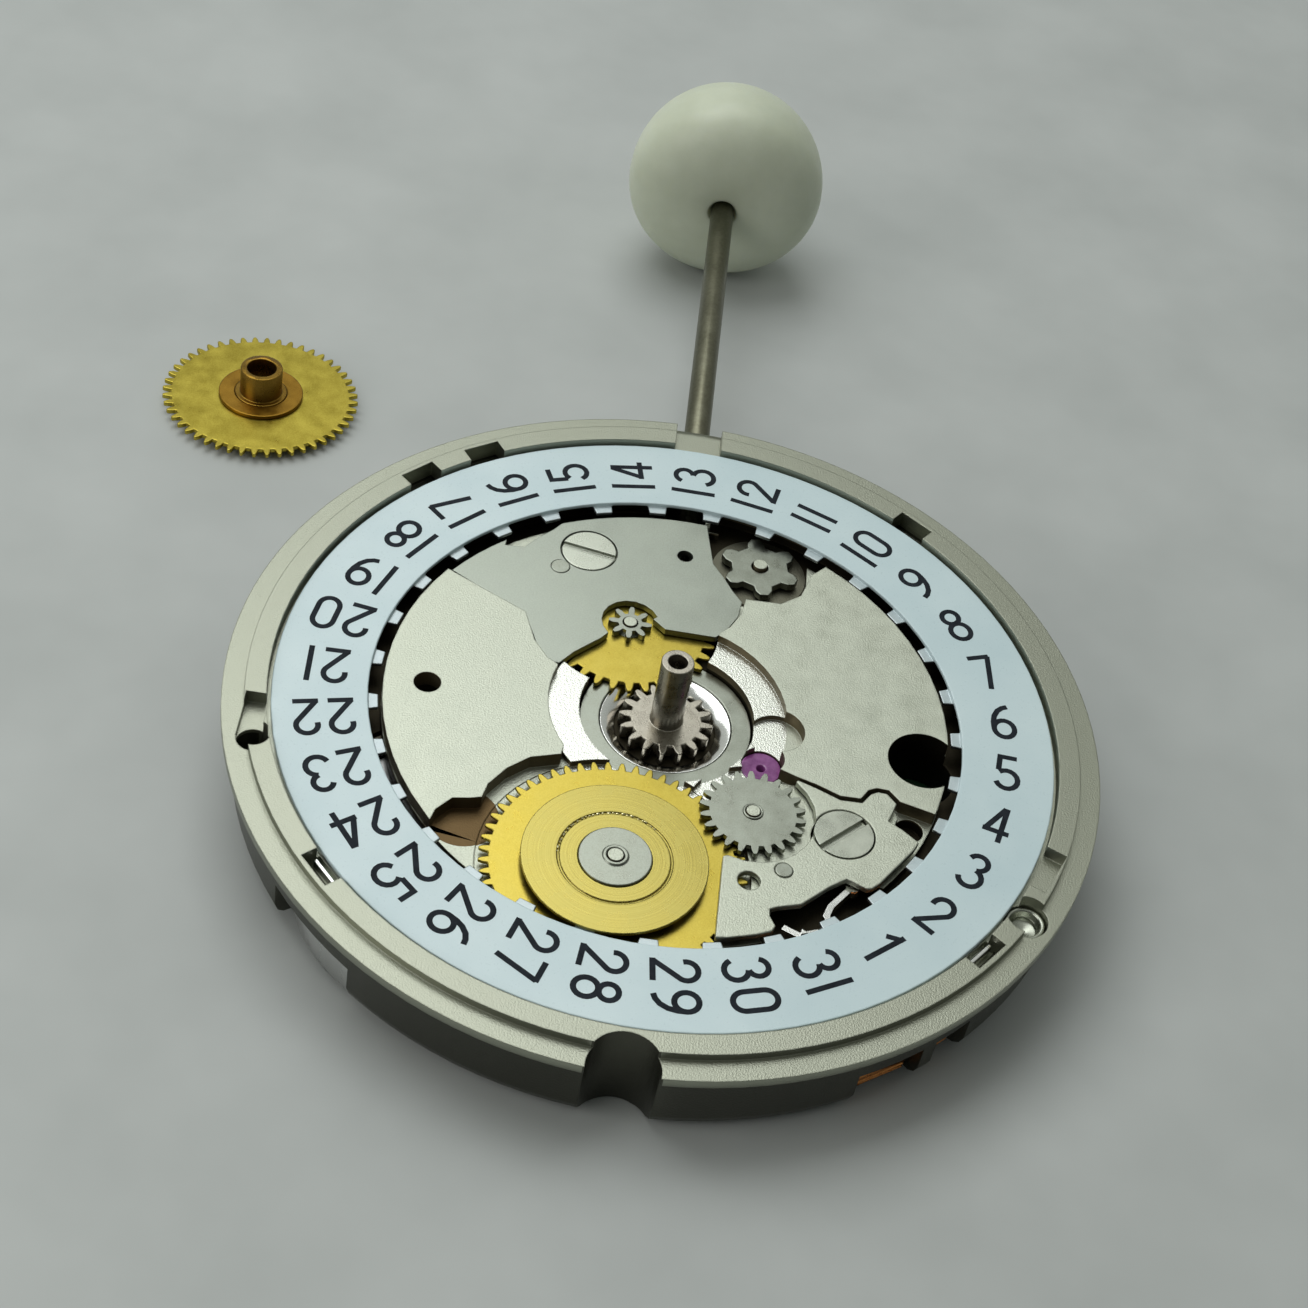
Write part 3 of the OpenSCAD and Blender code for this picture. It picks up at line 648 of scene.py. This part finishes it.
def crystal_lead(name, side):
    """One of the two leads that leave the crystal's can and bend down to the board."""
    can_side = heading(68)
    can_way = Vector((can_side.y, -can_side.x, 0))
    can_start = can_side * 8.9 - can_way * 2.9 + up(0.92)
    route = ((5.15, 0.3, 0), (5.5, 0.34, 0), (5.62, 0.36, -0.12), (5.66, 0.36, -0.3))
    points = [can_start + can_way * way + can_side * apart * side + up(drop) for way, apart, drop in route]
    add(name, wire_mesh(name, points), tin, "movement", smooth=60)


def board_tracks():
    """Gilt tracks on the open side of the board: arcs about the middle, and the spokes between them."""
    board_low, _ = box_mm("circuit_board")
    inner_r, outer_r, width, sunk, proud, step = 7.0, 9.9, 0.16, 0.02, 0.002, 0.0008
    arcs = ((10.9, -62, 20), (10.4, -55, 6), (outer_r, -60, -20), (inner_r, -60, -10), (6.5, -48, 30))
    tracks = [[heading(a).xy * radius for a in range(start, end + 1, 4)] for radius, start, end in arcs]
    tracks += [[heading(a).xy * inner_r, heading(a).xy * outer_r] for a in (-62, -55, -48, -30, -12, 20)]
    bm = bmesh.new()
    for layer, path in enumerate(tracks):
        ribbon(bm, path, width, board_low.z - sunk, board_low.z + proud + step * layer, mm)
    add("board_tracks", mesh_of("board_tracks", bm), gold, "movement", smooth=20)


# ---------------------------------------------------------------- dial foot sleeve, and disc burrs with painted glints
def dial_foot_sleeve():
    """The clamp sleeve of a dial foot in the south-west hole, with a rolled lip around a deep hollow."""
    low, high = box_mm("dial_screw_west")
    axis = (low + high) / 2
    lip = (high.x - low.x) / 2
    shank = lip * 0.5
    outside = [(0.0, low.z), (shank, low.z), (shank, high.z - 0.5), (lip, high.z - 0.42),
               (lip, high.z - 0.05)]
    rolled = [(lip - 0.03, high.z - 0.012), (lip - 0.07, high.z), (lip - 0.11, high.z - 0.012),
              (lip - 0.14, high.z - 0.05)]
    inside = [(lip - 0.16, high.z - 0.2), (lip - 0.19, high.z - 0.23), (lip - 0.17, high.z - 0.3),
              (lip - 0.2, high.z - 0.36), (0.12, high.z - 0.42), (0.0, high.z - 0.46)]
    mesh = turned_mesh("dial_foot_sleeve", outside + rolled + inside, (axis.x, axis.y, 0), "z", 64)
    add("dial_foot_sleeve", mesh, screw_metal, body_of["dial_screw_west"], ["dial_screw_west"])


def disc_burrs():
    """Burrs left by the tool along the far side of the date disc's groove, coloured much brighter than the
    disc's brass as painted glints.
    """
    random.seed(4)
    groove_r = 1.585
    _, disc_high = box_mm("date_disc")
    hub_at = middle("date_hub") / MM
    bm = bmesh.new()
    for degrees in range(-38, 96, 5):
        turn = degrees + random.uniform(-1.6, 1.6)
        spot = hub_at + heading(turn) * (groove_r + random.uniform(-0.015, 0.02))
        spot.z = disc_high.z - 0.012
        burr = bmesh.ops.create_icosphere(bm, subdivisions=1, radius=random.uniform(0.018, 0.034) * MM)
        stretch = Matrix.Diagonal((1.0, 1.9, 0.8, 1.0))
        spin = Matrix.Rotation(math.radians(turn), 4, "Z")
        bmesh.ops.transform(bm, matrix=Matrix.Translation(spot * MM) @ spin @ stretch, verts=burr["verts"])
    add("disc_burrs", mesh_of("disc_burrs", bm), burr_glint_metal, body_of["date_disc"], smooth=10)


date_numerals()
knob_bulb()
coil_wire()
coil_lead("coil_lead_west", 214.5, 0.9)
coil_lead("coil_lead_south", 224.3, 0.52)
crystal_lead("crystal_lead_left", -1)
crystal_lead("crystal_lead_right", 1)
board_tracks()
dial_foot_sleeve()
disc_burrs()


# ---------------------------------------------------------------- floor, light, camera
def lay_floor():
    """A plain pale floor, tilted so that the movement, the knob and the hour wheel all rest on it."""
    slope = math.radians(3.18)
    mesh = bpy.data.meshes.new("floor")
    bm = bmesh.new()
    bmesh.ops.create_grid(bm, x_segments=2, y_segments=2, size=0.6)
    bm.to_mesh(mesh)
    bm.free()
    floor = bpy.data.objects.new("floor", mesh)
    bpy.context.collection.objects.link(floor)
    floor.rotation_euler = (0, slope, 0)
    floor.location = mm(-12.5, 0, -0.02)
    mat, tree, shader = new_material("floor")
    dark, light = (0.47, 0.49, 0.48), (0.53, 0.55, 0.54)
    tree.links.new(ramp(tree, noise(tree, 6.0), (NOISE_LOW, dark), (NOISE_HIGH, light)),
                   shader.inputs["Base Color"])
    shader.inputs["Roughness"].default_value = 0.7
    paint(floor, mat)


def light_sky():
    """An even studio sky that brightens towards one side."""
    world = bpy.data.worlds.new("studio")
    bpy.context.scene.world = world
    world.use_nodes = True
    tree = world.node_tree
    background = tree.nodes["Background"]
    background.inputs["Strength"].default_value = 0.5
    view = tree.nodes.new("ShaderNodeTexCoord").outputs["Generated"]
    brightest = Vector((0.68, 0.16, 0.72)).normalized()
    nearness = remap(tree, vector_maths(tree, "DOT_PRODUCT", view, brightest), -1, 1)
    tree.links.new(ramp(tree, nearness, (0.45, (0.15, 0.16, 0.155)), (1.0, (0.95, 1.0, 0.93))),
                   background.inputs["Color"])


def lamp(name, place, size, power, colour):
    """A rectangular lamp aimed at the middle of the set; place and size are in mm."""
    aim = mm(3, 0, 0)
    data = bpy.data.lights.new(name, "AREA")
    data.shape = "RECTANGLE"
    data.size, data.size_y = size[0] * MM, size[1] * MM
    data.energy = power
    data.color = colour
    made = bpy.data.objects.new(name, data)
    bpy.context.collection.objects.link(made)
    made.location = mm(*place)
    made.rotation_euler = (aim - mm(*place)).to_track_quat("-Z", "Y").to_euler()


def photo_camera():
    """The camera that took the photo, fitted to the numerals, the date ring's edges and the rim."""
    look = Vector((0.70221831, -0.03805887, -0.71094371))
    top = Vector((0.70673202, 0.15807237, 0.68959624))
    data = bpy.data.cameras.new("camera")
    data.lens = 65.30
    data.sensor_width = 36
    data.clip_start = 0.001
    data.clip_end = 10
    camera = bpy.data.objects.new("camera", data)
    bpy.context.collection.objects.link(camera)
    turn = Matrix((look.cross(top), top, -look)).transposed()
    camera.matrix_world = Matrix.Translation(mm(-47.688, 3.312, 53.186)) @ turn.to_4x4()
    bpy.context.scene.camera = camera


lay_floor()
light_sky()
lamp("window", (70, 45, 150), (150, 120), 0.13, (0.97, 1.0, 1.0))
lamp("fill", (-60, 110, 80), (90, 90), 0.05, (1.0, 0.99, 0.96))
photo_camera()
bpy.context.scene.view_settings.view_transform = "Standard"
